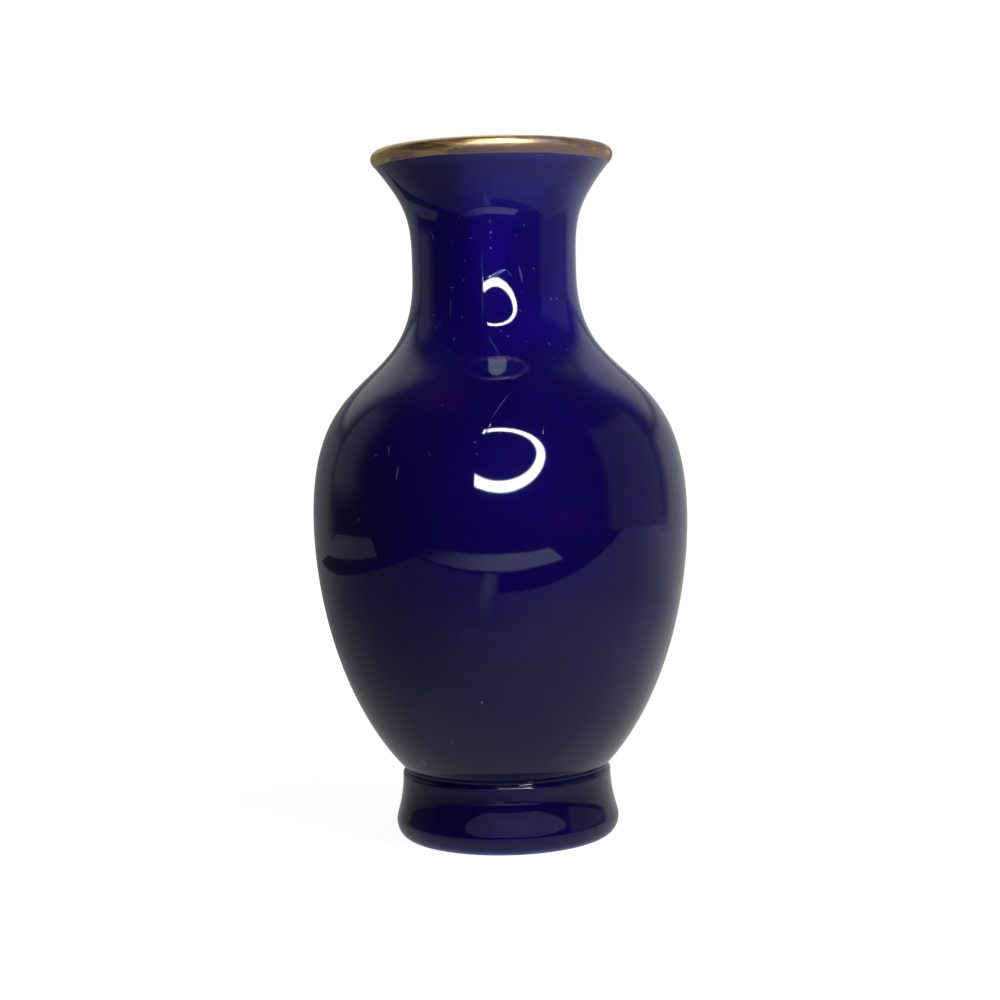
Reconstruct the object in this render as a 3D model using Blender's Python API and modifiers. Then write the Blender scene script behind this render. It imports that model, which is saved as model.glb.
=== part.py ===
"""A small baluster bud vase: one hollow casting of glazed porcelain, with its own turned foot.

Metres, +Z up, origin at the centre of the underside. The vase is one closed profile turned round
the Z axis. The profile runs from the middle of the inner floor up the inside, over the rolled lip,
down the outside to the flat foot ring, and across the recessed underside back to the axis.
"""

import math

import bpy
from mathutils import Vector
from mathutils.geometry import interpolate_bezier

# Heights, stacked from the table up
FOOT_HEIGHT = 0.0129  # table to the crease where the body meets the foot
BELLY_RISE = 0.0477  # crease to the widest part of the body
SHOULDER_RISE = 0.0463  # widest part of the body to the narrowest part of the neck
FLARE_RISE = 0.0231  # narrowest part of the neck to the top of the lip
FOOT_BULGE_HEIGHT = 0.0032  # table to the widest part of the foot
COLLAR_DROP = 0.0009  # height of the rounded edge at the top of the foot, just below the crease

# Outer radii, and steps in from them
BELLY_RADIUS = 0.0355
NECK_RADIUS = 0.0155
LIP_OVERHANG = 0.0073  # how far the lip stands out past the neck
FOOT_RADIUS = 0.0213
CREASE_DEPTH = 0.0023  # how far the crease lies in from the widest part of the foot
COLLAR_STEP = 0.0009  # how far the top of the foot stands out past the crease
FOOT_ROUND = 0.0024  # how far the foot turns in below its widest part

# Walls and the underside
WALL = 0.0029
FLOOR_THICKNESS = 0.0032
FLOOR_RADIUS = 0.0100  # flat middle of the inner floor
RING_WIDTH = 0.0032  # the flat ring that stands on the table
RECESS_DEPTH = 0.0035
RECESS_FILLET = 0.0012

# Directions of the outside, in degrees from the vertical
FLARE_LEAN = 40.0  # where the flare runs into the lip
CREASE_LEAN = 44.0  # where the body leaves the crease

# How far each curve keeps its end direction, as a share of the height that it spans
FOOT_HOLD = 0.14
COLLAR_HOLD = 0.57
CREASE_HOLD = 0.37
BELLY_HOLD_BELOW = 0.30
BELLY_HOLD_ABOVE = 0.69
NECK_HOLD_BELOW = 0.51
NECK_HOLD_ABOVE = 0.40
LIP_HOLD = 0.48
BOWL_HOLD = 0.50

QUARTER_ROUND = 0.5523  # the same share for a quarter of a circle or an ellipse
TURN_STEPS = 64
COBALT = (0.006, 0.002, 0.10)  # linear RGB
GLAZE_ROUGHNESS = 0.06

CREASE = Vector((FOOT_RADIUS - CREASE_DEPTH, FOOT_HEIGHT))
BELLY = Vector((BELLY_RADIUS, CREASE.y + BELLY_RISE))
NECK = Vector((NECK_RADIUS, BELLY.y + SHOULDER_RISE))
HEIGHT = NECK.y + FLARE_RISE
ROLL = WALL / 2  # the lip is a half round as thick as the wall
ROLL_CENTRE = Vector((NECK_RADIUS + LIP_OVERHANG - ROLL, HEIGHT - ROLL))
RING_OUTER = FOOT_RADIUS - FOOT_ROUND
RING_INNER = RING_OUTER - RING_WIDTH
FLOOR_Z = RECESS_DEPTH + FLOOR_THICKNESS


def lean(degrees):
    """Unit direction in the profile plane, so many degrees outwards from straight up."""
    angle = math.radians(degrees)
    return Vector((math.sin(angle), math.cos(angle)))


UP = lean(0)
OUT = lean(90)


def curve(start, leaving, end, arriving, count):
    """Points of a cubic curve that leaves along one direction and arrives along the other."""
    knots = (start, start + leaving, end - arriving, end)
    return [point.xy for point in interpolate_bezier(*(knot.to_3d() for knot in knots), count)]


def arc(centre, radius, first, last, count):
    """Points on an arc between two angles in degrees, measured from straight out."""
    step = math.radians(last - first) / (count - 1)
    angles = [math.radians(first) + step * i for i in range(count)]
    return [centre + radius * Vector((math.cos(angle), math.sin(angle))) for angle in angles]


def foot_profile():
    """Outside of the foot, from the edge of the flat ring up to the crease."""
    ring = Vector((RING_OUTER, 0))
    bulge = Vector((FOOT_RADIUS, FOOT_BULGE_HEIGHT))
    collar = CREASE + OUT * COLLAR_STEP - UP * COLLAR_DROP
    rise = collar.y - bulge.y
    corner = (bulge - ring) * QUARTER_ROUND
    low = curve(ring, OUT * corner.x, bulge, UP * corner.y, 5)
    flared = curve(bulge, UP * rise * FOOT_HOLD, collar, UP * rise * COLLAR_HOLD, 6)
    edge = curve(
        collar, UP * COLLAR_DROP * QUARTER_ROUND,
        CREASE, -OUT * COLLAR_STEP * QUARTER_ROUND, 3,
    )
    return low + flared[1:] + edge[1:]


def body_profile():
    """Outside of the body, from the crease over belly, shoulder and neck to where the lip begins."""
    lower = curve(
        CREASE, lean(CREASE_LEAN) * BELLY_RISE * CREASE_HOLD,
        BELLY, UP * BELLY_RISE * BELLY_HOLD_BELOW, 10,
    )
    shoulder = curve(
        BELLY, UP * SHOULDER_RISE * BELLY_HOLD_ABOVE,
        NECK, UP * SHOULDER_RISE * NECK_HOLD_BELOW, 11,
    )
    flare = curve(
        NECK, UP * FLARE_RISE * NECK_HOLD_ABOVE,
        ROLL_CENTRE + lean(90 + FLARE_LEAN) * ROLL, lean(FLARE_LEAN) * FLARE_RISE * LIP_HOLD, 7,
    )
    return lower + shoulder[1:] + flare[1:]


def set_in(points, distance):
    """Points moved inwards, square to the line that they follow."""
    moved = []
    for i, point in enumerate(points):
        along = points[min(i + 1, len(points) - 1)] - points[max(i - 1, 0)]
        moved.append(point + Vector((-along.y, along.x)).normalized() * distance)
    return moved


def inner_profile():
    """The inside, from the middle of the floor up to just below the lip: one wall's thickness in
    from the body's outside, with a rounded bowl down in the foot."""
    wall = set_in(body_profile(), WALL)[:-1]
    floor_edge = Vector((FLOOR_RADIUS, FLOOR_Z))
    hold = (wall[0].y - FLOOR_Z) * BOWL_HOLD
    bowl = curve(floor_edge, OUT * hold, wall[0], lean(CREASE_LEAN) * hold, 6)
    return [Vector((0, FLOOR_Z))] + bowl + wall[1:]


def underside_profile():
    """The underside, from the inner edge of the flat ring up into the recess and to the axis."""
    corner = Vector((RING_INNER - RECESS_FILLET, RECESS_DEPTH - RECESS_FILLET))
    fillet = arc(corner, RECESS_FILLET, 0, 90, 4)
    return [Vector((RING_INNER, 0))] + fillet + [Vector((0, RECESS_DEPTH))]


def vase_profile():
    """The whole closed section, in the order that turns the faces outwards."""
    lip = arc(ROLL_CENTRE, ROLL, 180 - FLARE_LEAN, -FLARE_LEAN, 7)
    outside = foot_profile()[:-1] + body_profile()[:-1]
    return inner_profile() + lip + outside[::-1] + underside_profile()


def turned(name, profile, collection):
    """An object that turns the profile a full circle round Z."""
    mesh = bpy.data.meshes.new(name)
    edges = [(i, i + 1) for i in range(len(profile) - 1)]
    mesh.from_pydata([(point.x, 0, point.y) for point in profile], edges, [])
    part = bpy.data.objects.new(name, mesh)
    collection.objects.link(part)
    screw = part.modifiers.new("turn", "SCREW")
    screw.axis = "Z"
    screw.angle = math.tau
    screw.steps = screw.render_steps = TURN_STEPS
    screw.use_smooth_shade = True
    screw.use_merge_vertices = True
    screw.merge_threshold = 0.00001
    return part


def cobalt_glaze():
    """Deep blue glossy glaze."""
    material = bpy.data.materials.new("cobalt_glaze")
    material.use_nodes = True
    shader = material.node_tree.nodes["Principled BSDF"]
    shader.inputs["Base Color"].default_value = (*COBALT, 1)
    shader.inputs["Roughness"].default_value = GLAZE_ROUGHNESS
    shader.inputs["Metallic"].default_value = 0
    material.diffuse_color = (*COBALT, 1)
    return material


def build():
    for old in list(bpy.data.objects):
        bpy.data.objects.remove(old)
    collection = bpy.data.collections.new("bud_vase")
    bpy.context.scene.collection.children.link(collection)
    vase = turned("vase", vase_profile(), collection)
    vase.data.materials.append(cobalt_glaze())


build()
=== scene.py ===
# %% [markdown]
# # A bud vase in cobalt glaze
# The vase is one hollow porcelain casting, about 130 mm tall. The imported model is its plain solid.
# This script lays a fine skin over that solid, gives the skin its four finishes (cobalt glaze, gold
# on the lip, clear glaze inside and a bare foot ring), and sets up a plain pale floor, soft studio
# light and a camera.

import math

import bpy
import numpy as np
from mathutils import Matrix, Vector


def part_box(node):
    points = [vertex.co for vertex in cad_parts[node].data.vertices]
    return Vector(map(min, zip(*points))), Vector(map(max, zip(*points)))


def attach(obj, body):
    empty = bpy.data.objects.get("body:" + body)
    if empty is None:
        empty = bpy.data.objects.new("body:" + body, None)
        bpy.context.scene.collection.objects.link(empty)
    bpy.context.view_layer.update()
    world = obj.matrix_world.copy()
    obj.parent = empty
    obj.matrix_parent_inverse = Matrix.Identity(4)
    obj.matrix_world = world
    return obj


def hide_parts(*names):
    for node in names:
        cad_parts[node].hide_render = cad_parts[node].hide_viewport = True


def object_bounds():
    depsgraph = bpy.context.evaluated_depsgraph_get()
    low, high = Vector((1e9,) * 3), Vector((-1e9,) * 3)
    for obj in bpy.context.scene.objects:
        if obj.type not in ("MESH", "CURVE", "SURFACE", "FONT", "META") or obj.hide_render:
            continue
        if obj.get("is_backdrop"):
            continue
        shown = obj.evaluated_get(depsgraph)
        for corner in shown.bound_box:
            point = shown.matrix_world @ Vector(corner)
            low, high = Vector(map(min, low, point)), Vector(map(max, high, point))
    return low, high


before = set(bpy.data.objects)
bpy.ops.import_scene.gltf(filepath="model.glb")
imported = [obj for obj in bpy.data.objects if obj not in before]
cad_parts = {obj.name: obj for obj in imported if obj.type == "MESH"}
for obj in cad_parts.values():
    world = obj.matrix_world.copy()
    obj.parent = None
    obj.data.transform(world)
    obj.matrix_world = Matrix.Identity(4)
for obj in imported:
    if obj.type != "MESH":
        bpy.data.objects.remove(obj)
cad_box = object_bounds()
vase_low, vase_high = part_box("vase")
print("CAD box in mm:", (vase_low * 1000).to_tuple(3), (vase_high * 1000).to_tuple(3))

# %% [markdown]
# ## The section of the vase
# A turned pot is a half section carried round an axis. It could be drawn with a curve object and a
# Screw modifier, as the solid is. Here numpy works it out instead, so that the same points also give
# the map of the surface that the finishes need. Each stretch is a cubic curve, which is set by where
# it starts and ends and by the direction and strength with which it leaves and arrives.

# %% Sizes of the section, in metres
FOOT_HEIGHT = 0.0129
BELLY_RISE = 0.0477
SHOULDER_RISE = 0.0463
FOOT_BULGE_HEIGHT = 0.0032
COLLAR_DROP = 0.0009
BELLY_RADIUS = 0.0355
NECK_RADIUS = 0.0155
LIP_OVERHANG = 0.0073
FOOT_RADIUS = 0.0213
CREASE_DEPTH = 0.0023
COLLAR_STEP = 0.0009
FOOT_ROUND = 0.0024
WALL = 0.0029
FLOOR_THICKNESS = 0.0032
FLOOR_RADIUS = 0.0100
RING_WIDTH = 0.0032
RECESS_DEPTH = 0.0035
RECESS_FILLET = 0.0012

CREASE = np.array([FOOT_RADIUS - CREASE_DEPTH, FOOT_HEIGHT])
BELLY = np.array([BELLY_RADIUS, CREASE[1] + BELLY_RISE])
NECK = np.array([NECK_RADIUS, BELLY[1] + SHOULDER_RISE])
LIP_TOP = vase_high.z  # the skin stays inside the solid's box
FLARE_RISE = LIP_TOP - NECK[1]
ROLL = WALL / 2
ROLL_CENTRE = np.array([NECK_RADIUS + LIP_OVERHANG - ROLL, LIP_TOP - ROLL])
RING_OUTER = FOOT_RADIUS - FOOT_ROUND
RING_INNER = RING_OUTER - RING_WIDTH
print("lip top", round(LIP_TOP * 1000, 3), "mm, neck at", NECK * 1000)


# %% Curves of the section
def lean(degrees):
    """A unit step in the (radius, height) plane, so many degrees outwards from straight up."""
    return np.array([math.sin(math.radians(degrees)), math.cos(math.radians(degrees))])


def bend(start, leaving, end, arriving, count):
    """Cubic curve, with s = 1 - t:
    s^3 start + 3 s^2 t (start + leaving) + 3 s t^2 (end - arriving) + t^3 end."""
    t = np.linspace(0, 1, count)[:, None]
    s = 1 - t
    near, far = start + leaving, end - arriving
    return s**3 * start + 3 * s**2 * t * near + 3 * s * t**2 * far + t**3 * end


def round_arc(centre, radius, first, last, count):
    """Points centre + radius (cos a, sin a), with a running from first to last in degrees."""
    a = np.radians(np.linspace(first, last, count))[:, None]
    return centre + radius * np.hstack([np.cos(a), np.sin(a)])


def set_in(points, distance):
    """Each point moved to the left of the line's own direction there: the inside of a wall."""
    along = np.gradient(points, axis=0)
    left = np.column_stack([-along[:, 1], along[:, 0]])
    return points + distance * left / np.linalg.norm(left, axis=1, keepdims=True)


UP, OUT = lean(0), lean(90)
print("straight out is", OUT.round(3))


# %% [markdown]
# ## From the foot to the lip
# The outside is read from the foot ring up. The foot is widest just above its ring, draws in to an
# upright collar and ends in a small rounded edge at the crease. The body swells to the belly and
# closes to the neck, and the neck flares to a half-round lip. The inside is the same line, one wall's
# thickness further in, with a bowl down in the foot.

# %% How the curves meet
FLARE_LEAN, CREASE_LEAN = 40.0, 44.0  # degrees outwards from upright, at the lip and at the crease
QUARTER_ROUND = 0.5523  # the strength that makes a cubic curve a quarter of a circle or an ellipse
# How far each curve keeps its end direction, as a share of the height that it spans
FOOT_HOLD, COLLAR_HOLD = 0.14, 0.57
CREASE_HOLD, BELLY_HOLD_BELOW = 0.37, 0.30
BELLY_HOLD_ABOVE, NECK_HOLD_BELOW = 0.69, 0.51
NECK_HOLD_ABOVE, LIP_HOLD = 0.40, 0.48
BOWL_HOLD = 0.50
LIP_START = ROLL_CENTRE + ROLL * lean(90 + FLARE_LEAN)  # where the flare runs into the half round
print("the flare meets the lip at", (LIP_START * 1000).round(2), "mm")

# %% The foot
foot_start = np.array([RING_OUTER, 0.0])
foot_bulge = np.array([FOOT_RADIUS, FOOT_BULGE_HEIGHT])
foot_corner = (foot_bulge - foot_start) * QUARTER_ROUND
collar = CREASE + [COLLAR_STEP, -COLLAR_DROP]
foot_rise = collar[1] - FOOT_BULGE_HEIGHT
foot_low = bend(foot_start, OUT * foot_corner[0], foot_bulge, UP * foot_corner[1], 120)
foot_high = bend(
    foot_bulge, UP * foot_rise * FOOT_HOLD, collar, UP * foot_rise * COLLAR_HOLD, 120
)
foot_edge = bend(
    collar, UP * COLLAR_DROP * QUARTER_ROUND, CREASE, -OUT * COLLAR_STEP * QUARTER_ROUND, 60
)
print("the foot draws in by", round((FOOT_RADIUS - collar[0]) * 1000, 2), "mm")

# %% The body, the inside and the recess
body_low = bend(
    CREASE, lean(CREASE_LEAN) * BELLY_RISE * CREASE_HOLD,
    BELLY, UP * BELLY_RISE * BELLY_HOLD_BELOW, 400,
)
body_high = bend(
    BELLY, UP * SHOULDER_RISE * BELLY_HOLD_ABOVE, NECK, UP * SHOULDER_RISE * NECK_HOLD_BELOW, 400
)
flare = bend(
    NECK, UP * FLARE_RISE * NECK_HOLD_ABOVE,
    LIP_START, lean(FLARE_LEAN) * FLARE_RISE * LIP_HOLD, 200,
)
body = np.vstack([body_low, body_high[1:], flare[1:]])
inner_wall = set_in(body, WALL)
floor_edge = np.array([FLOOR_RADIUS, RECESS_DEPTH + FLOOR_THICKNESS])
bowl_hold = (inner_wall[0, 1] - floor_edge[1]) * BOWL_HOLD
bowl = bend(floor_edge, OUT * bowl_hold, inner_wall[0], lean(CREASE_LEAN) * bowl_hold, 120)
lip = round_arc(ROLL_CENTRE, ROLL, 180 - FLARE_LEAN, -FLARE_LEAN, 160)
recess_corner = np.array([RING_INNER - RECESS_FILLET, RECESS_DEPTH - RECESS_FILLET])
recess = np.vstack([[[RING_INNER, 0.0]], round_arc(recess_corner, RECESS_FILLET, 0, 90, 40)])
print("outside runs", len(body), "points from the crease to the lip")

# %% [markdown]
# ## One line, measured along its length
# The stretches are joined into one line that runs from the middle of the inner floor, up the inside,
# over the lip, down the outside and across the recess under the foot. Its length along the way, s,
# tells every finish where it begins and ends.


# %% Join the stretches and measure them
def joined(*stretches):
    """The stretches end to end, without the points that two of them share."""
    points = np.vstack(stretches)
    keep = np.r_[True, np.linalg.norm(np.diff(points, axis=0), axis=1) > 1e-7]
    return points[keep]


inside = joined([[0.0, floor_edge[1]]], bowl, inner_wall[1:])
outside = joined(body[::-1], foot_edge[::-1], foot_high[::-1], foot_low[::-1])
underside = joined(recess, [[0.0, RECESS_DEPTH]])
section = joined(inside, lip, outside, underside)
length_along = np.r_[0, np.cumsum(np.linalg.norm(np.diff(section, axis=0), axis=1))]
S_END = length_along[-1]


def at(s):
    """(radius, height) at the length s along the section, straight between its close points."""
    return np.stack([np.interp(s, length_along, section[:, k]) for k in (0, 1)], axis=-1)


def s_of(point):
    """Length along the section at its point nearest to this one."""
    return length_along[np.argmin(np.linalg.norm(section - point, axis=1))]


S_LIP_IN, S_LIP_OUT = s_of(lip[0]), s_of(lip[-1])
S_CREASE, S_RING_OUT, S_RING_IN = s_of(CREASE), s_of([RING_OUTER, 0]), s_of([RING_INNER, 0])
print("section", round(S_END * 1000, 1), "mm long, the lip starts at", round(S_LIP_IN * 1000, 1))

# %% [markdown]
# ## Where one finish ends and the next begins
# On the real vase the gold is brushed on by hand, so its lower edge wanders by a few tenths of a
# millimetre, and the glaze is wiped off the foot ring before firing, so its edge wanders too. A mask
# in a material could draw such an edge. Here the rows of the grid themselves follow it, so each finish
# is its own material on its own faces and the edge is sharp however near you look.

# %% Wandering edges
COLUMNS = 256
turn = np.linspace(0, 2 * math.pi, COLUMNS, endpoint=False)


def wander(size, seed, waves=(2, 3, 5, 8, 13, 21)):
    """Sum of sines round the vase, each fainter than the last, scaled to this size in metres."""
    phases = np.random.default_rng(seed).uniform(0, 2 * math.pi, len(waves))
    strength = 1 / np.sqrt(np.arange(1, len(waves) + 1))
    total = (strength[:, None] * np.sin(np.outer(waves, turn) + phases[:, None])).sum(0)
    return size * total / np.abs(total).max()


GOLD_BELOW_LIP = 0.0009  # how far the gold runs down the outside past the half round
GOLD_INSIDE = 0.0032  # and how far down the inside
edges = {  # where each edge runs along the section, and how far it wanders there
    "gold_inside": (S_LIP_IN - GOLD_INSIDE, wander(0.00035, 3)),
    "gold_outside": (S_LIP_OUT + GOLD_BELOW_LIP, wander(0.00014, 5)),
    "glaze_foot": (S_RING_OUT - 0.00025, wander(0.00016, 7)),
    "glaze_recess": (S_RING_IN + 0.0006, wander(0.00020, 9)),
}
print({name: round(place * 1000, 2) for name, (place, _) in edges.items()}, "mm along")


# %% The grid of the skin
def rows_between(first, last, count):
    """So many lengths from first up to, but not including, last, evenly spaced."""
    return np.linspace(first, last, count, endpoint=False)


KNOTS = [  # places along the section, and how many rows lead up to each
    (0.0, 0),
    (s_of(bowl[-1]), 30),
    (edges["gold_inside"][0], 50),
    (S_LIP_IN, 10),
    (S_LIP_OUT, 26),
    (edges["gold_outside"][0], 6),
    (S_CREASE, 144),
    (edges["glaze_foot"][0], 70),
    (S_RING_OUT, 3),
    (S_RING_IN, 5),
    (edges["glaze_recess"][0], 3),
    (s_of(recess[-1]), 10),
    (S_END, 14),
]
stretches = [rows_between(a, b, count) for (a, _), (b, count) in zip(KNOTS, KNOTS[1:])]
rows = np.concatenate([*stretches, [S_END]])
EDGE_WIDTH = 0.0008  # how far from an edge the rows still follow it


def follow_edges(rows):
    """s of every grid point: the row's own s, plus each edge's wander where the row is near that
    edge, fading away as a bell curve."""
    s = np.repeat(rows[:, None], COLUMNS, axis=1)
    for place, shift in edges.values():
        s += np.exp(-(((rows - place) / EDGE_WIDTH) ** 2))[:, None] * shift
    return np.clip(s, 0, S_END)


s_grid = follow_edges(rows[1:-1])
ring_points = at(s_grid)
print(len(rows), "rows of", COLUMNS, "points")


# %% [markdown]
# ## Turning the section into a closed skin
# Every row of the grid is carried round the axis: x = r cos a, y = r sin a, z = h. The two ends of the
# section lie on the axis, so each is a single point with a fan of triangles. The surface map puts
# the length round the belly across and the length along the section up, both in metres.


# %% Vertices and faces
def turned_skin(name, points, s_grid, start, end):
    """Mesh of the grid of (radius, height) points carried round Z, closed at both ends on the axis."""
    count = len(points)
    x, y = points[..., 0] * np.cos(turn), points[..., 0] * np.sin(turn)
    rings = np.stack([x, y, points[..., 1]], axis=-1).reshape(-1, 3)
    verts = np.vstack([rings, [[0, 0, start[1]], [0, 0, end[1]]]])
    j = np.arange(COLUMNS)
    k = (j + 1) % COLUMNS
    below = (np.arange(count - 1) * COLUMNS)[:, None]
    above = below + COLUMNS
    quads = np.stack([below + j, above + j, above + k, below + k], -1).reshape(-1, 4)
    first, last = len(rings), len(rings) + 1
    top = (count - 1) * COLUMNS
    fan_start = np.stack([np.full(COLUMNS, first), j, k], -1)
    fan_end = np.stack([np.full(COLUMNS, last), top + k, top + j], -1)
    mesh = bpy.data.meshes.new(name)
    mesh.from_pydata(verts, [], quads.tolist() + fan_start.tolist() + fan_end.tolist())
    mesh.shade_smooth()
    across = np.stack([turn, turn + 2 * math.pi / COLUMNS]) * BELLY_RADIUS
    s0, s1 = s_grid[:-1], s_grid[1:]
    u = np.stack([across[0], across[0], across[1], across[1]], -1)
    u = np.broadcast_to(u, (count - 1, COLUMNS, 4))
    v = np.stack([s0, s1, s1[:, k], s0[:, k]], -1)
    middle = across.mean(0)
    fan_u = np.stack([middle, across[0], across[1]], -1)
    fan_v0 = np.stack([np.zeros(COLUMNS), s_grid[0], s_grid[0][k]], -1)
    fan_v1 = np.stack([np.full(COLUMNS, S_END), s_grid[-1][k], s_grid[-1]], -1)
    map_u = np.concatenate([u.ravel(), fan_u.ravel(), fan_u[:, [0, 2, 1]].ravel()])
    map_v = np.concatenate([v.ravel(), fan_v0.ravel(), fan_v1.ravel()])
    layer = mesh.uv_layers.new(name="surface")
    layer.uv.foreach_set("vector", np.stack([map_u, map_v], -1).astype(np.float32).ravel())
    return mesh


skin = turned_skin("glazed_vase", ring_points, s_grid, section[0], section[-1])
skin.validate()
triangles = sum(len(face.vertices) - 2 for face in skin.polygons)
print("skin:", len(skin.vertices), "points,", triangles, "triangles")


# %% [markdown]
# ## How thick the glaze lies
# A coloured glaze is dark where it pools and light where it runs thin, over an edge. A potter would
# call it breaking over the rim. The thin places here are a line just under the gold and the last
# millimetre above the foot ring; it pools in the crease. This is kept as a number on every point.

# %% Thin and pooled glaze
GOLD_LINE, RING_LINE, POOL_WIDTH = 0.0009, 0.0012, 0.0016  # how wide each of them is
GOLD_LINE_SHARE = 0.9  # how thin the glaze gets under the gold, 1 being as thin as over the ring
thin = np.zeros(len(skin.vertices), np.float32)
pooled = np.zeros(len(skin.vertices), np.float32)
gold_edge = edges["gold_outside"][0] + edges["gold_outside"][1]
ring_edge = edges["glaze_foot"][0] + edges["glaze_foot"][1]
under_gold = np.clip(s_grid - gold_edge, 0, None)
over_ring = np.clip(ring_edge - s_grid, 0, None)
thin_gold = GOLD_LINE_SHARE * np.exp(-((under_gold / GOLD_LINE) ** 2))
thin_ring = np.exp(-((over_ring / RING_LINE) ** 2))
thin[: s_grid.size] = (thin_gold + thin_ring).ravel()
pooled[: s_grid.size] = np.exp(-(((s_grid - S_CREASE) / POOL_WIDTH) ** 2)).ravel()
for label, values in (("glaze_thin", thin), ("glaze_pool", pooled)):
    skin.attributes.new(label, "FLOAT", "POINT").data.foreach_set("value", values)
print("thin for", GOLD_LINE * 1000, "mm under the gold and", RING_LINE * 1000, "mm over the ring")

# %% [markdown]
# ## Which finish each face takes
# A face takes its finish from its row: clear glaze inside, gold over the lip, cobalt down the
# outside, bare porcelain on the foot ring and clear glaze again in the recess.

# %% Finishes by row
FINISHES = ["cobalt_glaze", "gilding", "clear_glaze", "bare_porcelain"]
COBALT, GOLD, CLEAR, BARE = range(len(FINISHES))
row_middle = (rows[1:-2] + rows[2:-1]) / 2
finish_of_row = np.select(
    [
        row_middle < edges["gold_inside"][0],
        row_middle < edges["gold_outside"][0],
        row_middle < edges["glaze_foot"][0],
        row_middle < edges["glaze_recess"][0],
    ],
    [CLEAR, GOLD, COBALT, BARE],
    default=CLEAR,
)
fans = np.full(2 * COLUMNS, CLEAR)
finish = np.concatenate([np.repeat(finish_of_row, COLUMNS), fans]).astype(np.int32)
skin.polygons.foreach_set("material_index", finish)
vase = bpy.data.objects.new("glazed_vase", skin)
bpy.context.scene.collection.objects.link(vase)
print({name: int((finish == i).sum()) for i, name in enumerate(FINISHES)}, "faces of each finish")

# %% [markdown]
# ## Two helpers for the finishes
# Colours are written as hex values, as a picker shows them, and turned to linear light once. A
# finish is a small network of shader nodes, and one function adds any of them.


# %% Colour and node helpers
def linear(hex_colour):
    """sRGB hex to linear: c / 12.92 up to 0.04045, then ((c + 0.055) / 1.055) ** 2.4."""
    srgb = np.array([int(hex_colour[i : i + 2], 16) for i in (1, 3, 5)]) / 255
    low = srgb <= 0.04045
    return (*np.where(low, srgb / 12.92, ((srgb + 0.055) / 1.055) ** 2.4).tolist(), 1.0)


def add(tree, kind, sockets=(), out=0, **settings):
    """A new shader node, and one of its outputs comes back. Settings are the node's own options.
    Sockets are its inputs, in order or by place, each with a link or a value."""
    node = tree.nodes.new("ShaderNode" + kind)
    for option, value in settings.items():
        setattr(node, option, value)
    places = sockets if isinstance(sockets, dict) else dict(enumerate(sockets))
    for place, value in places.items():
        if isinstance(value, bpy.types.NodeSocket):
            tree.links.new(value, node.inputs[place])
        else:
            node.inputs[place].default_value = value
    return node.outputs[out] if len(node.outputs) else None


def new_finish(name, roughness, metallic, ior=None):
    """A new material with a Principled shader, and constant values on the shader's own sockets."""
    material = bpy.data.materials.new(name)
    material.use_nodes = True
    shader = material.node_tree.nodes["Principled BSDF"]
    shader.inputs["Roughness"].default_value = roughness
    shader.inputs["Metallic"].default_value = metallic
    if ior:
        shader.inputs["IOR"].default_value = ior
    return material, material.node_tree, shader


SMOOTH = {"interpolation_type": "SMOOTHSTEP"}  # a Map Range that starts and ends gently
COLOUR = {"data_type": "RGBA"}  # a Mix of colours: share at 0, colours at 6 and 7, out of 2
print("white is", linear("#ffffff"))

# %% [markdown]
# ## Cobalt glaze
# The blue is cobalt oxide in a glossy glaze, fired at about 1300 degrees C. It is a layer of coloured
# glass, and it is built as one. The coat is the glass face, which mirrors what is around it with an
# index of refraction of 1.5. The base under it is the blue itself, whose tiny bubbles and crystals
# send light back mostly near the mirror direction, so it has a wide, blue-tinted gloss of its own.
# The glaze ran down a little as it melted: it lies thin and clear blue at the neck and thick and dark toward
# the foot, and painted shade for the light from above darkens it further toward the foot. Dark and violet
# clouds drift through it, and painted shade for the body above makes it darkest in the hollow of the foot. It
# pools in the crease and breaks to a pale line at the gold and at the foot ring.

# %% Cobalt glaze: colour
cobalt_glaze, tree, shader = new_finish("cobalt_glaze", roughness=0.68, metallic=0.0, ior=1.5)
shader.inputs["Specular Tint"].default_value = linear("#3c1aed")
shader.inputs["Coat Weight"].default_value = 1.0
shader.inputs["Coat Roughness"].default_value = 0.045
shader.inputs["Coat IOR"].default_value = 1.5
place = add(tree, "TexCoord", out="Object")
height = add(tree, "SeparateXYZ", [place], "Z")
# Painted shade: the blues darken toward the foot for the light from above, on top of the thicker glaze there
BLUES_WITH_PAINTED_SHADE = [  # where it starts and where it is reached in metres, its share and its colour
    (0.010, 0.060, 1.0, "#120466"),
    (0.068, 0.110, 1.0, "#2106ae"),
    (0.112, 0.124, 0.85, "#3b38bc"),
]
glaze_colour = linear("#070130")
for start, full, most, colour in BLUES_WITH_PAINTED_SHADE:
    share = add(tree, "MapRange", [height, start, full, 0.0, most], **SMOOTH)
    glaze_colour = add(tree, "Mix", {0: share, 6: glaze_colour, 7: linear(colour)}, 2, **COLOUR)
print(len(BLUES_WITH_PAINTED_SHADE) + 1, "blues from the foot to the lip")
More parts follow.
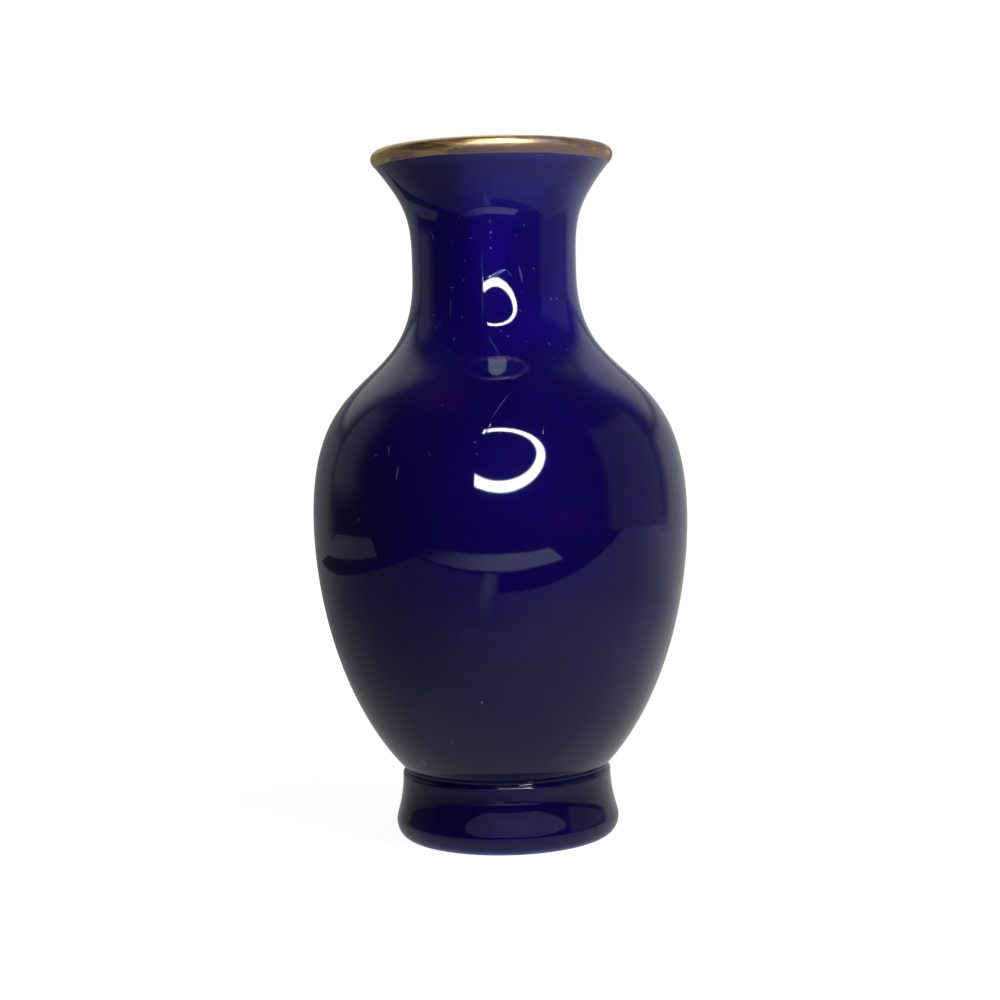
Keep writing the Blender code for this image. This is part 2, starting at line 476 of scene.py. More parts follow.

# %% Cobalt glaze: clouds, pools, painted shade in the foot and thin places
# Painted shade: the hollow of the foot, under the body, is painted near black
above_swell = add(tree, "MapRange", [height, 0.0042, 0.0070], **SMOOTH)
below_body = add(tree, "MapRange", [height, 0.0145, 0.0122], **SMOOTH)
painted_foot_shade = add(tree, "Math", [above_swell, below_body], operation="MULTIPLY")
clouds = add(tree, "TexNoise", {"Vector": place, "Scale": 1 / 0.022, "Detail": 3, "Distortion": 0.6})
veins = add(tree, "TexNoise", {"Vector": place, "Scale": 1 / 0.009, "Detail": 4, "Distortion": 1.2})
uneven = add(tree, "TexNoise", {"Vector": place, "Scale": 1 / 0.004, "Detail": 2})
pool = add(tree, "Attribute", out="Fac", attribute_name="glaze_pool")
thinness = add(tree, "Attribute", out="Fac", attribute_name="glaze_thin")
broken = add(tree, "MapRange", [uneven, 0.2, 0.6, 0.45, 0.95], **SMOOTH)
LAYERS = [
    # painted shade in the hollow of the foot
    (add(tree, "Math", [painted_foot_shade, 0.85], operation="MULTIPLY"), "#05020f"),
    (add(tree, "MapRange", [clouds, 0.40, 0.62, 0.0, 0.45], **SMOOTH), "#0a033c"),
    (add(tree, "MapRange", [veins, 0.50, 0.74, 0.0, 0.40], **SMOOTH), "#25085a"),
    (add(tree, "Math", [pool, 0.7], operation="MULTIPLY"), "#0a0338"),
    (add(tree, "Math", [thinness, broken], operation="MULTIPLY"), "#5f5cc0"),
]
for share, colour in LAYERS:
    glaze_colour = add(tree, "Mix", {0: share, 6: glaze_colour, 7: linear(colour)}, 2, **COLOUR)
print(len(LAYERS), "layers over the blue")

# %% [markdown]
# ## Dust, hairlines and violet clouds
# The vase has been handled: dust sits on it in fine pale specks, thickest on the front of the neck,
# and a few hairlines from rubbing catch the light. A speck is about 0.1 mm across on the real vase
# and is drawn up to 0.5 mm, or it wouldn't show. The dust is the cores of cells scattered through
# space, kept only where a coarse noise is high. The marks that stand alone are laid on one by one:
# each is an ellipsoid set on the surface, long and thin for a hairline and wide for a violet cloud.


# %% Dust
def specks(tree, place, spacing, radius, kept):
    """1 inside specks up to this radius: near the core of a cell, in the share of cells kept."""
    cells = add(tree, "TexVoronoi", {"Vector": place, "Scale": 1 / spacing, "Randomness": 1.0}).node
    pick = add(tree, "SeparateColor", [cells.outputs["Color"]]).node
    reach = add(tree, "Math", [pick.outputs[1], radius / spacing], operation="MULTIPLY")
    core = add(tree, "Math", [cells.outputs["Distance"], reach], operation="LESS_THAN")
    chosen = add(tree, "Math", [pick.outputs[0], 1 - kept], operation="GREATER_THAN")
    return add(tree, "Math", [core, chosen], operation="MULTIPLY")


SPECK_RADIUS = 0.00026
neck_low = add(tree, "MapRange", [height, 0.088, 0.098], **SMOOTH)
neck_high = add(tree, "MapRange", [height, 0.120, 0.112], **SMOOTH)
on_neck = add(tree, "Math", [neck_low, neck_high], operation="MULTIPLY")
patches = add(tree, "TexNoise", {"Vector": place, "Scale": 1 / 0.012, "Detail": 2})
dusty = add(tree, "MapRange", [patches, 0.42, 0.56], **SMOOTH)
neck_dust = specks(tree, place, 0.0012, SPECK_RADIUS, 0.55)
neck_dust = add(tree, "Math", [neck_dust, dusty], operation="MULTIPLY")
neck_dust = add(tree, "Math", [neck_dust, on_neck], operation="MULTIPLY")
stray_dust = specks(tree, place, 0.0036, SPECK_RADIUS, 0.14)
dust = add(tree, "Math", [neck_dust, stray_dust], operation="MAXIMUM")
print("specks up to", round(SPECK_RADIUS * 2000, 2), "mm across")

# %% Single marks
# Each mark: degrees round from the front, height in mm, degrees of lean from level, half length
# and half width in mm, strength
HAIRLINES = [
    (2, 105.9, 23, 2.0, 0.30, 1.0),
    (18, 105.8, -79, 1.8, 0.22, 0.9),
    (10, 106.0, -54, 0.9, 0.14, 0.6),
    (-46, 113.7, -50, 1.0, 0.18, 0.8),
    (-30, 100.1, -84, 2.3, 0.16, 0.5),
    (-8, 103.6, -90, 9.0, 0.16, 0.35),
    (-1, 92.8, -64, 3.2, 0.15, 0.5),
    (1, 82.3, 58, 4.0, 0.16, 0.5),
    (-3, 78.5, 67, 1.8, 0.15, 0.4),
    (-35, 74.8, -79, 1.2, 0.18, 0.7),
    (-31, 70.9, 85, 1.7, 0.22, 0.8),
    (-21, 74.3, -60, 0.9, 0.10, 0.3),
    (14, 77.8, 81, 0.9, 0.10, 0.4),
    (-30, 103.7, 0, 0.24, 0.20, 0.9),
    (-21, 105.0, 0, 0.20, 0.18, 0.8),
    (-21, 98.2, 0, 0.22, 0.18, 0.8),
    (-36, 97.1, 0, 0.20, 0.16, 0.7),
    (-2, 110.5, 0, 0.22, 0.18, 0.7),
    (-20, 108.5, 0, 0.18, 0.16, 0.7),
    (-45, 62.6, 0, 0.26, 0.22, 0.9),
    (-19, 82.5, 0, 0.20, 0.18, 0.6),
    (-42, 17.0, -30, 0.45, 0.28, 0.9),
    (-22, 22.0, 20, 0.28, 0.22, 0.6),
]
VIOLET_CLOUDS = [
    (-19, 83.5, -12, 8.5, 5.0, 0.85),
    (-14, 91.5, 40, 3.4, 2.0, 0.85),
    (20, 62.0, 15, 7.0, 4.0, 0.45),
]
MARK_DEPTH = 1.2  # how far a mark reaches in and out of the surface at least, in mm
HAIRLINE_CORE, CLOUD_CORE = 0.45, 0.1  # the part at full strength: a hairline is crisp, a cloud soft
SLOPE_STEP = 0.0002  # the height over which the outside's slope is read


def outside_radius(height_mm):
    """Radius and outward slope of the outside at this height, read from the section."""
    rising = outside[::-1]
    heights = np.array([height_mm / 1000, height_mm / 1000 + SLOPE_STEP])
    radius, above = np.interp(heights, rising[:, 1], rising[:, 0])
    return float(radius), float((above - radius) / SLOPE_STEP)


def laid_on(tree, place, degrees, height_mm, lean_degrees, half_length, half_width, strength):
    """Strength inside an ellipsoid that lies along the surface, fading to 0 at its rim."""
    radius, slope = outside_radius(height_mm)
    a = math.radians(degrees - 90)
    outward = Vector((math.cos(a), math.sin(a), -slope)).normalized()
    level = Vector((-math.sin(a), math.cos(a), 0))
    upward = outward.cross(level)
    t = math.radians(lean_degrees)
    along = level * math.cos(t) + upward * math.sin(t)
    half_sizes = Vector((half_length, half_width, max(half_width, MARK_DEPTH))) / 1000
    spot = add(
        tree, "Mapping",
        {
            "Vector": place,
            "Location": (radius * math.cos(a), radius * math.sin(a), height_mm / 1000),
            "Rotation": Matrix((along, outward.cross(along), outward)).transposed().to_euler(),
            "Scale": half_sizes,
        },
        vector_type="TEXTURE",
    )
    reach = add(tree, "VectorMath", [spot], "Value", operation="LENGTH")
    core = HAIRLINE_CORE if half_width < 1 else CLOUD_CORE
    return add(tree, "MapRange", [reach, 1.0, core, 0.0, strength], **SMOOTH)


violet = 0.0
for cloud in VIOLET_CLOUDS:
    violet = add(tree, "Math", [violet, laid_on(tree, place, *cloud)], operation="MAXIMUM")
glaze_colour = add(tree, "Mix", {0: violet, 6: glaze_colour, 7: linear("#2c0876")}, 2, **COLOUR)
hairlines = 0.0
for line in HAIRLINES:
    hairlines = add(tree, "Math", [hairlines, laid_on(tree, place, *line)], operation="MAXIMUM")
marks = add(tree, "Math", [dust, hairlines], operation="MAXIMUM")
print(len(HAIRLINES), "single marks and", len(VIOLET_CLOUDS), "violet clouds")

# %% [markdown]
# ## Gloss and surface of the glaze
# The glaze levelled as it melted, but not quite: its face waves by a few microns over some
# millimetres, with a fine orange peel on top. That makes each reflection's outline unsteady. Both
# are noises in a Bump node, one after the other, and the dust stands up on top of them.

# %% Cobalt glaze: gloss and surface
shown = add(tree, "Math", [marks, 0.65], operation="MULTIPLY")
glaze_colour = add(tree, "Mix", {0: shown, 6: glaze_colour, 7: linear("#a3a6ee")}, 2, **COLOUR)
cloudy = add(tree, "TexNoise", {"Vector": place, "Scale": 1 / 0.014, "Detail": 5, "Distortion": 0.8})
under_gloss = add(tree, "MapRange", [cloudy, 0.40, 0.70, 0.62, 0.72], **SMOOTH)
wave = add(tree, "TexNoise", {"Vector": place, "Scale": 1 / 0.007, "Detail": 1})
peel = add(tree, "TexNoise", {"Vector": place, "Scale": 1 / 0.0012, "Detail": 1})
SURFACE = [(wave, 0.000018, 1.0), (peel, 0.0000012, 1.0), (marks, 0.00004, 0.6)]
relief, step_height, strength = SURFACE[0]
face = add(tree, "Bump", {"Height": relief, "Distance": step_height, "Strength": strength})
for relief, step_height, strength in SURFACE[1:]:
    bump = {"Height": relief, "Distance": step_height, "Strength": strength, "Normal": face}
    face = add(tree, "Bump", bump)
tree.links.new(glaze_colour, shader.inputs["Base Color"])
tree.links.new(under_gloss, shader.inputs["Roughness"])
tree.links.new(face, shader.inputs["Normal"])
tree.links.new(face, shader.inputs["Coat Normal"])
print("cobalt glaze:", len(tree.nodes), "nodes")

# %% [markdown]
# ## Gilding on the lip
# The gold is burnish gold, a thin film of real gold painted over the glaze and fired again at
# 800 degrees C. It is metal, so it has no colour of its own but tints what it mirrors. The brush
# leaves fine strokes round the rim, and years of handling have rubbed it to a mauve-brown film in
# patches and dark pinholes. It is rubbed most on the right and along its lower edge.

# %% Gilding: strokes and wear
gilding, tree, shader = new_finish("gilding", roughness=0.36, metallic=1.0)
place = add(tree, "TexCoord", out="Object")
surface = add(tree, "UVMap", uv_map="surface")
strokes = add(tree, "Mapping", {"Vector": surface, "Scale": (1.0, 14.0, 1.0)})
brushed = add(tree, "TexNoise", {"Vector": strokes, "Scale": 1 / 0.006, "Detail": 4})
axes = add(tree, "SeparateXYZ", [place]).node
right_side = add(tree, "MapRange", [axes.outputs["X"], 0.002, 0.014, -0.04, 0.16], **SMOOTH)
below = add(tree, "MapRange", [axes.outputs["Z"], 0.1283, 0.1274, 0.0, 0.14], **SMOOTH)
handled = add(tree, "TexNoise", {"Vector": place, "Scale": 1 / 0.010, "Detail": 4, "Distortion": 0.9})
for more in (right_side, below):
    handled = add(tree, "Math", [handled, more], operation="ADD")
worn = add(tree, "MapRange", [handled, 0.50, 0.64], **SMOOTH)
pinholes = specks(tree, place, 0.0012, 0.00030, 0.30)
print("gilding wears from the right and from below")

# %% Gilding: colour and gloss
stroke = add(tree, "MapRange", [brushed, 0.35, 0.65], **SMOOTH)
gold_colour = add(tree, "Mix", {0: stroke, 6: linear("#e0b678"), 7: linear("#f6dca6")}, 2, **COLOUR)
for amount, most, colour in ((worn, 0.85, "#b79c9c"), (pinholes, 0.8, "#3a2415")):
    share = add(tree, "Math", [amount, most], operation="MULTIPLY")
    gold_colour = add(tree, "Mix", {0: share, 6: gold_colour, 7: linear(colour)}, 2, **COLOUR)
gold_gloss = add(tree, "MapRange", [brushed, 0.3, 0.7, 0.30, 0.42], **SMOOTH)
duller = add(tree, "Math", [worn, 0.14], operation="MULTIPLY")
gold_gloss = add(tree, "Math", [gold_gloss, duller], operation="ADD")
film = 1.0
for amount, most in ((pinholes, 0.6), (worn, 0.3)):
    lost = add(tree, "Math", [amount, most], operation="MULTIPLY")
    film = add(tree, "Math", [film, lost], operation="SUBTRACT")
grooves = add(tree, "Bump", {"Height": brushed, "Distance": 0.000010, "Strength": 1.0})
tree.links.new(gold_colour, shader.inputs["Base Color"])
tree.links.new(film, shader.inputs["Metallic"])
tree.links.new(gold_gloss, shader.inputs["Roughness"])
tree.links.new(grooves, shader.inputs["Normal"])
print("gilding:", len(tree.nodes), "nodes")

# %% [markdown]
# ## Clear glaze over white porcelain
# Inside and in the recess the cast body is only dipped in clear glaze. Hard porcelain is a cool
# white, and a kiln leaves a few iron specks in it. The inside can't be seen in the photo, so this is
# what such a vase usually has.

# %% Clear glaze
clear_glaze, tree, shader = new_finish("clear_glaze_on_porcelain", roughness=0.08, metallic=0.0, ior=1.5)
place = add(tree, "TexCoord", out="Object")
tone = add(tree, "TexNoise", {"Vector": place, "Scale": 1 / 0.018, "Detail": 3})
greyer = add(tree, "MapRange", [tone, 0.35, 0.7], **SMOOTH)
white = add(tree, "Mix", {0: greyer, 6: linear("#e9e6e0"), 7: linear("#dcdcdd")}, 2, **COLOUR)
iron = add(tree, "Math", [specks(tree, place, 0.0060, 0.00035, 0.25), 0.7], operation="MULTIPLY")
white = add(tree, "Mix", {0: iron, 6: white, 7: linear("#6b5138")}, 2, **COLOUR)
gloss = add(tree, "TexNoise", {"Vector": place, "Scale": 1 / 0.010, "Detail": 3})
gloss = add(tree, "MapRange", [gloss, 0.3, 0.7, 0.05, 0.11], **SMOOTH)
ripple = add(tree, "TexNoise", {"Vector": place, "Scale": 1 / 0.006, "Detail": 1})
ripple = add(tree, "Bump", {"Height": ripple, "Distance": 0.00002, "Strength": 1.0})
tree.links.new(white, shader.inputs["Base Color"])
tree.links.new(gloss, shader.inputs["Roughness"])
tree.links.new(ripple, shader.inputs["Normal"])
print("clear glaze:", len(tree.nodes), "nodes")

# %% [markdown]
# ## Bare porcelain of the foot ring
# Glaze would weld the foot to the kiln shelf, so the ring is wiped bare. Fired porcelain without
# glaze is matt and finely gritty, like a sugar cube rubbed smooth, and it picks up grey dirt where
# it has stood. The grit is about 0.15 mm and is drawn at 0.3 mm so that it shows.

# %% Bare porcelain
bare_porcelain, tree, shader = new_finish("bare_porcelain", roughness=0.82, metallic=0.0, ior=1.5)
place = add(tree, "TexCoord", out="Object")
grit = add(tree, "TexNoise", {"Vector": place, "Scale": 1 / 0.0003, "Detail": 2})
matt_white = add(tree, "Mix", {0: grit, 6: linear("#d6d0c6"), 7: linear("#e6e1d9")}, 2, **COLOUR)
soil = add(tree, "TexNoise", {"Vector": place, "Scale": 1 / 0.004, "Detail": 4, "Distortion": 0.5})
soiled = add(tree, "MapRange", [soil, 0.42, 0.72, 0.0, 0.6], **SMOOTH)
matt_white = add(tree, "Mix", {0: soiled, 6: matt_white, 7: linear("#8d8377")}, 2, **COLOUR)
matt = add(tree, "MapRange", [grit, 0.3, 0.7, 0.74, 0.92], **SMOOTH)
rough_face = add(tree, "Bump", {"Height": grit, "Distance": 0.00002, "Strength": 1.0})
tree.links.new(matt_white, shader.inputs["Base Color"])
tree.links.new(matt, shader.inputs["Roughness"])
tree.links.new(rough_face, shader.inputs["Normal"])
print("bare porcelain:", len(tree.nodes), "nodes")

# %% [markdown]
# ## The skin takes the solid's place
# The four finishes go into the skin's slots in the order that its faces count them. The skin then
# rides on the solid's body and replaces it in the picture. Two shells of one shape would flicker.

# %% Lay the skin over the solid
for material in (cobalt_glaze, gilding, clear_glaze, bare_porcelain):
    skin.materials.append(material)
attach(vase, "root")
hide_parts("vase")
print("the skin replaces the plain solid")

# %% [markdown]
# ## The floor and the light
# A glossy dark pot is mostly a picture of what is around it, so the studio is built twice. What the
# camera sees is a plain white floor under soft light. What the glaze mirrors is a dim space with
# plain cards in it and a ring lamp in front. A card is a surface that gives a soft light, and its
# ray visibility hides it from the camera and from the soft light.


# %% Helpers for the stage
def seen_by(obj, camera=False, glossy=False, diffuse=False, shadow=False):
    """Sets which kinds of light ray meet this object."""
    obj.visible_camera = camera
    obj.visible_glossy = glossy
    obj.visible_diffuse = diffuse
    obj.visible_shadow = shadow
    obj.visible_transmission = False
    obj.visible_volume_scatter = False


def grid_piece(name, points):
    """A mesh over a grid of points, with its map from 0 to 1 both ways."""
    down, across = points.shape[:2]
    i, j = np.meshgrid(np.arange(down - 1), np.arange(across - 1), indexing="ij")
    corner = (i * across + j).ravel()
    faces = np.stack([corner, corner + 1, corner + across + 1, corner + across], -1)
    mesh = bpy.data.meshes.new(name)
    mesh.from_pydata(points.reshape(-1, 3), [], faces.tolist())
    u = np.tile(np.linspace(0, 1, across), down)
    v = np.repeat(np.linspace(0, 1, down), across)
    layer = mesh.uv_layers.new(name="spread")
    layer.uv.foreach_set("vector", np.stack([u, v], -1)[faces.ravel()].astype(np.float32).ravel())
    obj = bpy.data.objects.new(name, mesh)
    bpy.context.scene.collection.objects.link(obj)
    obj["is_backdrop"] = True
    return obj


def empty_material(name):
    """A new material without a node in it."""
    material = bpy.data.materials.new(name)
    material.use_nodes = True
    material.node_tree.nodes.clear()
    return material, material.node_tree


def glowing(name, radiance, left=0.0, right=0.0, low=0.0, high=0.0):
    """A light-giving material that fades in from each rim over this share of the card."""
    material, tree = empty_material(name)
    spread = add(tree, "SeparateXYZ", [add(tree, "UVMap", uv_map="spread")]).node
    share = 1.0
    for axis, first, last in (("X", left, right), ("Y", low, high)):
        for rim, inside_rim in ((0.0, first), (1.0, 1 - last)):
            if rim != inside_rim:
                fade = [spread.outputs[axis], rim, inside_rim]
                fade = add(tree, "MapRange", fade, **SMOOTH)
                share = add(tree, "Math", [share, fade], operation="MULTIPLY")
    strength = add(tree, "Math", [share, radiance], operation="MULTIPLY")
    glow = add(tree, "Emission", {"Strength": strength})
    mixed = add(tree, "MixShader", [share, add(tree, "BsdfTransparent"), glow])
    add(tree, "OutputMaterial", [mixed])
    return material


def toward(azimuth, elevation):
    """Unit direction from the vase, in degrees: azimuth from the camera's side, positive to its
    right, and elevation up from level."""
    a, e = math.radians(azimuth), math.radians(elevation)
    return np.array([math.sin(a) * math.cos(e), -math.cos(a) * math.cos(e), math.sin(e)])


print("the camera's side is", toward(0, 0))

# %% [markdown]
# ## The camera
# The lip shows from a little below and the foot from above, which a camera 355 mm away at the height
# of the shoulder sees, tipped down by 3.6 degrees. The picture is turned a little too, so the vase
# leans left by a degree and a half in it.

# %% Camera
CAMERA_DISTANCE, CAMERA_HEIGHT = 0.355, 0.0860
PITCH, CAMERA_ROLL = 0.0622, -0.0254
FOCAL_PIXELS, FRAME_PIXELS, SENSOR = 1864.7, 1000, 36.0
camera = bpy.data.objects.new("camera", bpy.data.cameras.new("camera"))
camera.data.sensor_width = SENSOR
camera.data.lens = FOCAL_PIXELS / FRAME_PIXELS * SENSOR
camera.data.clip_start = 0.01
camera.matrix_world = (
    Matrix.Translation((0, -CAMERA_DISTANCE, CAMERA_HEIGHT))
    @ Matrix.Rotation(math.pi / 2 - PITCH, 4, "X")
    @ Matrix.Rotation(CAMERA_ROLL, 4, "Z")
)
bpy.context.scene.collection.objects.link(camera)
bpy.context.scene.camera = camera
bpy.context.scene.view_settings.view_transform = "Standard"
print("lens", round(camera.data.lens, 2), "mm")

# %% [markdown]
# ## The floor
# The floor is plain white and runs into the backdrop without a line. Only the camera sees it. It gives most
# of its light itself, and a little less near the vase: painted shade, as under a soft lamp.

# %% Floor
FLOOR_REACH = 3.0
floor_points = np.array([[x, y, 0] for y in (-FLOOR_REACH, FLOOR_REACH) for x in (-FLOOR_REACH, FLOOR_REACH)])
floor = grid_piece("floor", floor_points.reshape(2, 2, 3))
floor_white, tree = empty_material("white_floor")
paint = add(tree, "BsdfDiffuse", {"Color": linear("#e8e8e8")})
reach = add(tree, "VectorMath", [add(tree, "TexCoord", out="Object")], "Value", operation="LENGTH")
# Painted shade: the floor's own glow drops to 0.9 near the vase
glow_with_painted_shade = add(tree, "MapRange", [reach, 0.03, 0.20, 0.90, 1.0], **SMOOTH)
own_light = add(tree, "Emission", {"Strength": glow_with_painted_shade})
add(tree, "OutputMaterial", [add(tree, "AddShader", [paint, own_light])])
floor.data.materials.append(floor_white)
seen_by(floor, camera=True)
print("floor", 2 * FLOOR_REACH, "m wide")

# %% [markdown]
# ## Cards that the glaze mirrors
# The cards lie flat or are bent round the vase. A dull one under the vase gives the grey-blue sheen
# of the lower body, brighter to the right and to the back. A small one just in front of the foot
# hides the lamp from it. The strip gives a bright band across the body, and the streak a soft line
# down toward the foot. Cards at the sides, behind and above give the body its pale edges.


# %% Card helpers
def flat_card(name, corners, z, material):
    """A level card between (x, y) corners in metres: near left, near right, far left, far right."""
    points = np.array([[*corner, z] for corner in corners], float).reshape(2, 2, 3)
    obj = grid_piece(name, points)
    obj.data.materials.append(material)
    seen_by(obj, glossy=True)
    return obj


CARD_CENTRE = np.array([0, 0, 0.07])


def wall_card(name, azimuths, elevations, distance, material):
    """A card bent round the vase: (sin a, -cos a, tan e) times the distance, for azimuths a and
    elevations e in degrees."""
    a, e = np.meshgrid(np.linspace(*azimuths, 25), np.linspace(*elevations, 9))
    a, e = np.radians(a), np.radians(e)
    obj = grid_piece(name, np.stack([np.sin(a), -np.cos(a), np.tan(e)], -1) * distance + CARD_CENTRE)
    obj.data.materials.append(material)
    seen_by(obj, glossy=True)
    return obj


under_glow, tree = empty_material("under_card")
spot = add(tree, "TexCoord", out="Object")
reach = add(tree, "VectorMath", [spot], "Value", operation="LENGTH")
strength = add(tree, "MapRange", [reach, 0.030, 0.180, 0.42, 0.22])
axes = add(tree, "SeparateXYZ", [spot]).node
to_right = add(tree, "MapRange", [axes.outputs["X"], -0.12, 0.12, 0.55, 1.35], **SMOOTH)
to_back = add(tree, "MapRange", [axes.outputs["Y"], -0.05, 0.20, 1.0, 1.8], **SMOOTH)
for more in (to_right, to_back):
    strength = add(tree, "Math", [strength, more], operation="MULTIPLY")
glow = add(tree, "Emission", {"Color": linear("#f6f2ee"), "Strength": strength})
add(tree, "OutputMaterial", [glow])
print("card helpers ready")

# %% Flat cards
UNDER_CARDS = [  # name, height, and corners near left, near right, far left, far right
    ("under", -0.0004, [(-0.26, -0.165), (0.90, -0.165), (-0.26, 0.90), (0.90, 0.90)]),
    ("front", -0.0004, [(-0.26, -0.215), (-0.008, -0.215), (-0.26, -0.165), (-0.008, -0.165)]),
    ("foot", 0.014, [(-0.032, -0.082), (0.045, -0.082), (-0.032, -0.0216), (0.045, -0.0216)]),
]
for name, card_height, corners in UNDER_CARDS:
    flat_card(f"{name}_card", corners, card_height, under_glow)
LOW_CARDS = [  # name, height, corners in the same order, radiance, and how far each rim fades in
    ("patch", 0.0, [(-0.62, -0.08), (-0.34, -0.08), (-0.62, 0.30), (-0.34, 0.30)], 0.22, {}),
    (
        "strip", 0.001, [(-0.36, -0.320), (0.175, -0.330), (-0.36, -0.215), (0.160, -0.225)], 1.0,
        {"left": 0.75, "low": 0.08, "high": 0.06},
    ),
    (
        "streak", 0.001, [(-0.052, -0.215), (0.006, -0.215), (-0.019, -0.035), (0.003, -0.035)], 0.48,
        {"left": 0.5, "right": 0.5, "high": 0.8},
    ),
]
for name, card_height, corners, radiance, fades in LOW_CARDS:
    flat_card(f"{name}_card", corners, card_height, glowing(f"{name}_glow", radiance, **fades))
print(len(UNDER_CARDS) + len(LOW_CARDS), "flat cards")

# %% Cards round the vase and above it
ROUND_CARDS = [  # name, azimuths, elevations, distance, radiance, and how far each rim fades in
    ("right", (60, 120), (-6, 42), 0.45, 0.18, {"left": 0.16, "right": 0.2, "high": 0.2}),
    ("left", (-125, -80), (-4, 50), 0.50, 0.20, {"left": 0.15, "right": 0.6, "low": 0.2, "high": 0.3}),
    ("low_right", (104, 180), (-9, 22), 0.55, 0.46, {"left": 0.3, "high": 0.3}),
    ("low_left", (-180, -108), (-9, 22), 0.55, 0.22, {"right": 0.3, "high": 0.3}),
    ("back", (112, 248), (12, 60), 0.60, 0.55, {"left": 0.2, "right": 0.2, "low": 0.2, "high": 0.35}),
    ("high_left", (-174, -116), (38, 68), 0.50, 0.70, {"left": 0.2, "right": 0.4, "low": 0.4, "high": 0.2}),
    ("high_right", (116, 174), (46, 72), 0.50, 0.65, {"left": 0.4, "right": 0.2, "low": 0.4, "high": 0.2}),
]
for name, azimuths, elevations, distance, radiance, fades in ROUND_CARDS:
    glow = glowing(f"{name}_glow", radiance, **fades)
    wall_card(f"{name}_card", azimuths, elevations, distance, glow)
CEILING_HEIGHT = 1.4
flat_card(
    "ceiling_card", [(-0.45, 0.25), (0.45, 0.25), (-0.45, 1.6), (0.45, 1.6)], CEILING_HEIGHT,
    glowing("ceiling_glow", 1.6, left=0.3, right=0.3, low=0.2, high=0.3),
)
print(len(ROUND_CARDS), "cards round the vase, and one above")

# %% [markdown]
# ## Light from below
# A pale floor throws light back up at the foot. The camera's floor can't, since only the camera
# sees it, so one small card under the foot does that for the glaze's body and lights the blue line
# along the foot's lower edge. It meets diffuse rays only.

# %% Bounce card
BOUNCE_REACH, BOUNCE_HEIGHT = 0.028, -0.0006
bounce_card = flat_card(
    "bounce_card",
    [(x, y) for y in (-BOUNCE_REACH, BOUNCE_REACH) for x in (-BOUNCE_REACH, BOUNCE_REACH)],
    BOUNCE_HEIGHT,
    glowing("bounce_glow", 1.2, left=0.1, right=0.1, low=0.1, high=0.1),
)
seen_by(bounce_card, diffuse=True)
print("bounce card", 2000 * BOUNCE_REACH, "mm wide")

# %% [markdown]
# ## The ring lamp
# Its image is the brightest thing on the vase: a C on the belly and another on the neck. The lamp
# is a wide oval ring, 2 m away and 30 degrees up. Its left part is cut off along a straight line,
# and its band is broader below than above.


# %% Ring lamp
LAMP_AT, LAMP_DISTANCE = toward(0.5, 30.0), 2.0
LAMP_WIDE, LAMP_HIGH = 1.020, 0.780  # half width and half height of the outer rim
LAMP_HOLE, HOLE_UP = 0.76, 0.07  # the hole as a share of the outer rim, and how far up it sits
CUT_AT, CUT_LEAN = -0.44, -9.3  # where the line cuts a rim of radius 1, and its lean in degrees
LAMP_AIM = np.array([0, -0.033, 0.074])  # the point on the vase that it is placed from


def cut_ring(hole, hole_up, cut_at, cut_lean, count=96):
    """Rows from the hole out to a rim of radius 1. Each row runs round from one end of the cut to
    the other: at radius r the line x = cut_at is met at the angle acos(cut_at / r), all turned by
    the lean."""
    radii = np.linspace(hole, 1, 7)[:, None]
    reach = np.arccos(np.clip(cut_at / radii, -1, 1))
    angle = np.linspace(-1, 1, count)[None, :] * reach + math.radians(cut_lean)
    return radii * np.cos(angle), radii * np.sin(angle) + hole_up * (1 - radii) / (1 - hole)


lamp_centre = LAMP_AIM + LAMP_AT * LAMP_DISTANCE
lamp_right = -np.cross(LAMP_AT, [0, 0, 1])
lamp_right /= np.linalg.norm(lamp_right)
lamp_up = np.cross(LAMP_AT, lamp_right)
lamp_up *= np.sign(lamp_up[2])
lamp_x, lamp_y = cut_ring(LAMP_HOLE, HOLE_UP, CUT_AT, CUT_LEAN)
lamp_face = LAMP_WIDE * lamp_x[..., None] * lamp_right + LAMP_HIGH * lamp_y[..., None] * lamp_up
lamp = grid_piece("ring_lamp", lamp_centre + lamp_face)
lamp.data.materials.append(glowing("lamp_glow", 27.0, low=0.1, high=0.1))
seen_by(lamp, glossy=True)
print("lamp centre in mm", (lamp_centre * 1000).round(0))

# %% [markdown]
# ## Soft light
# The blue under the coat needs light of its own. Two large soft lamps give it, one from the right
# and a weaker one from the front. The glaze doesn't mirror them.


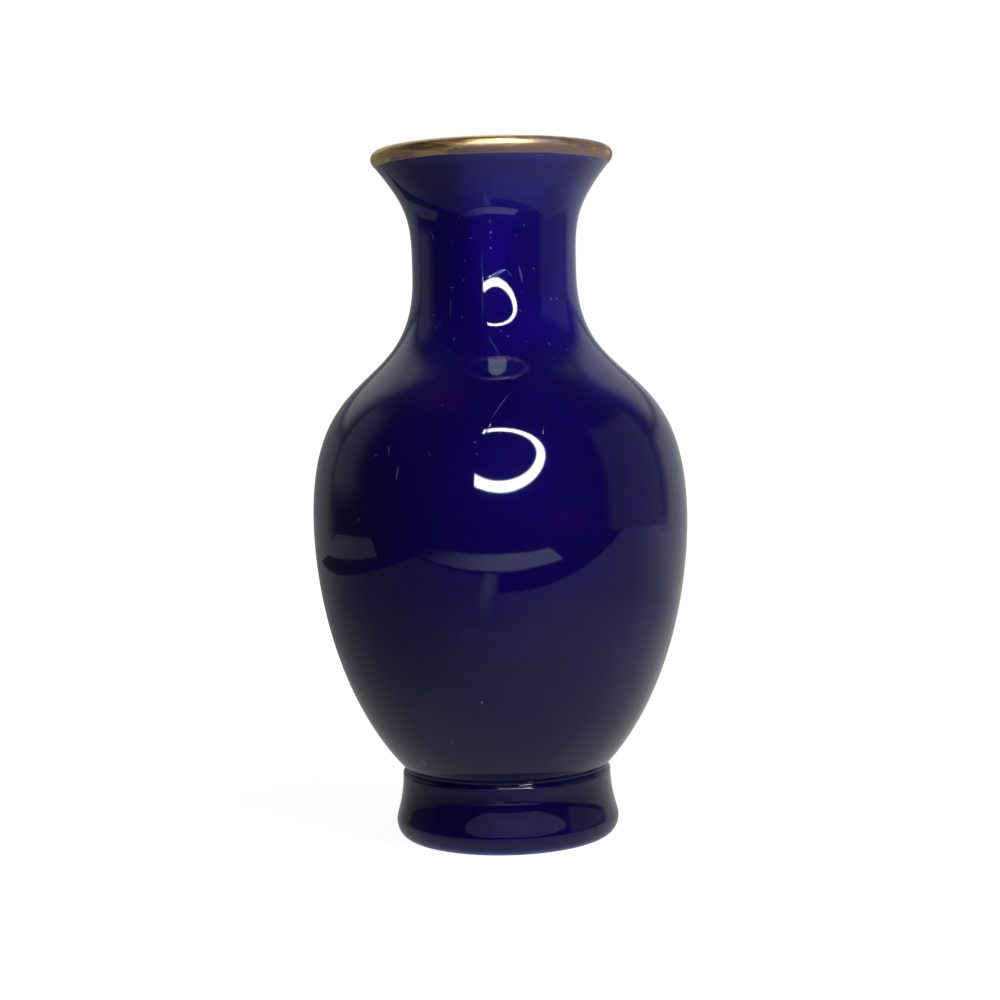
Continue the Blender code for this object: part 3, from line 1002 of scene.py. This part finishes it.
# %% Soft light on the body of the glaze and on the floor
def soft_light(name, azimuth, elevation, distance, size, watts):
    """A square area light that faces the middle of the vase and isn't mirrored."""
    data = bpy.data.lights.new(name, "AREA")
    data.size = size
    data.energy = watts
    obj = bpy.data.objects.new(name, data)
    away = Vector(toward(azimuth, elevation))
    obj.location = Vector(CARD_CENTRE) + away * distance
    obj.rotation_euler = away.to_track_quat("Z", "Y").to_euler()
    obj.visible_glossy = False
    bpy.context.scene.collection.objects.link(obj)
    return obj


key = soft_light("key", azimuth=50, elevation=10, distance=0.9, size=0.35, watts=2.1)
front = soft_light("front", azimuth=-2, elevation=18, distance=0.9, size=0.35, watts=0.65)
print("soft light:", round(key.data.energy, 2), "W and", round(front.data.energy, 2), "W")

# %% [markdown]
# ## The world
# The camera sees white, so the backdrop runs into the floor without a line. The soft light gets a
# pale sky above and little from below. The mirror rays get a dim grey.

# %% World
world = bpy.data.worlds.new("studio")
bpy.context.scene.world = world
world.use_nodes = True
tree = world.node_tree
tree.nodes.clear()
ray = add(tree, "LightPath").node
up = add(tree, "SeparateXYZ", [add(tree, "TexCoord", out="Generated")], "Z")
sky_light = add(tree, "MapRange", [up, -0.3, 0.9, 0.02, 0.10], **SMOOTH)
dim_light = add(tree, "MapRange", [up, -0.1, 0.9, 0.02, 0.01], **SMOOTH)
sky = add(tree, "Background", {"Color": linear("#ffffff"), "Strength": sky_light})
dim = add(tree, "Background", {"Color": linear("#d9d4e4"), "Strength": dim_light})
backdrop = add(tree, "Background", {"Color": linear("#ffffff"), "Strength": 1.0})
unseen = add(tree, "MixShader", [ray.outputs["Is Glossy Ray"], sky, dim])
seen = add(tree, "MixShader", [ray.outputs["Is Camera Ray"], unseen, backdrop])
add(tree, "OutputWorld", [seen])
print("world:", len(tree.nodes), "nodes")

# %% [markdown]
# ## Sizes, and the end
# The boxes of the imported model and of the dressed one are printed, so that anyone can see that the skin
# stays inside the solid's size.

# %% Sizes, and the end
visual_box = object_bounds()
boxes = {"cad": [list(corner) for corner in cad_box], "visual": [list(corner) for corner in visual_box]}
for label, corners in boxes.items():
    print(label, "box in mm:", [[round(c * 1000, 3) for c in corner] for corner in corners])
